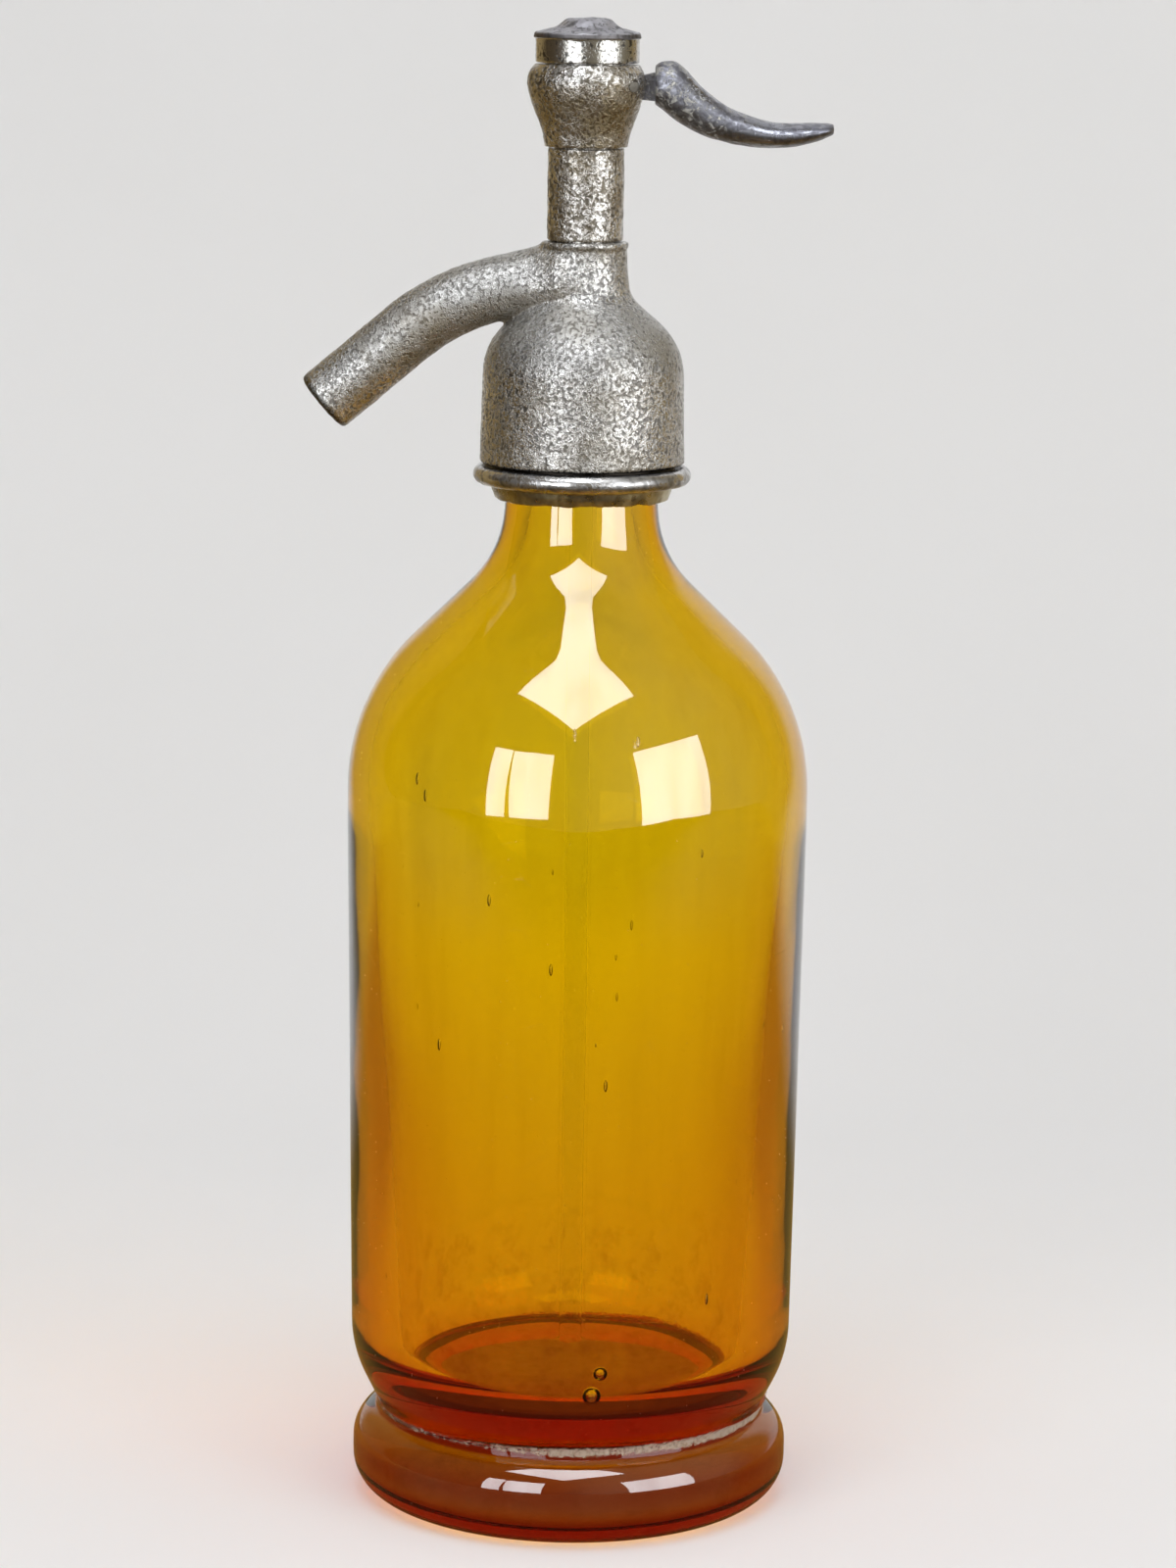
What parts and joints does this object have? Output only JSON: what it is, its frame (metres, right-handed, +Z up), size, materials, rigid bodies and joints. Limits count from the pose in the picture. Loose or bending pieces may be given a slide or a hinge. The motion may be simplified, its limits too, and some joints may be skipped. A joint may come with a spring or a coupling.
{
  "type": "soda siphon",
  "caption": "Amber glass soda siphon with a metal head, curved spout and a sprung lever that lifts the valve piston.",
  "frame": {"origin": "middle of the flat ground underside of the bottle, on the bottle's axis", "axes": "+Z up along the bottle, the spout points toward -X and the lever toward +X"},
  "size_m": [0.1041, 0.0924, 0.2995],
  "materials": {
    "amber_glass": "polished",
    "clear_glass": "polished",
    "pitted_pewter": "pitted",
    "bright_pewter": "polished",
    "dark_pewter": "worn",
    "brass": "satin",
    "steel": "satin",
    "rubber": "matte",
    "leather": "matte"
  },
  "bodies": {
    "root": {"bottle": "amber_glass", "dip_tube": "clear_glass", "tube_seal": "rubber", "tube_ferrule": "brass", "lip_gasket": "rubber", "clamp_half_left": "brass", "clamp_half_right": "brass", "clamp_collar": "pitted_pewter", "head_body": "pitted_pewter", "valve_seat": "brass", "gland_nut": "brass", "rod_packing": "leather", "packing_washer": "brass", "column_tube": "pitted_pewter", "lever_housing": "pitted_pewter", "lever_pin": "steel", "return_spring": "steel", "cap_gasket": "leather", "top_cap": "bright_pewter"},
    "lever": {"lever": "dark_pewter"},
    "piston": {"crosshead": "brass", "piston_rod": "brass", "valve_holder": "brass", "valve_disc": "rubber", "valve_screw": "brass"}
  },
  "joints": [
    {"name": "lever_press", "type": "hinge", "parent": "root", "child": "lever", "pos_m": [0.00928, 0, 0.2862], "axis": [0, 1, 0], "range_deg": [0, 14], "stiffness_Nm_per_rad": 0.24, "springref_deg": -28.65},
    {"name": "piston_lift", "type": "slide", "parent": "root", "child": "piston", "axis": [0, 0, 1], "range_m": [0, 0.00197], "deforming": ["return_spring"]}
  ],
  "couplings": [
    {"joint": "lever_press", "follows": "piston_lift", "rad_per_m": 123.84}
  ]
}
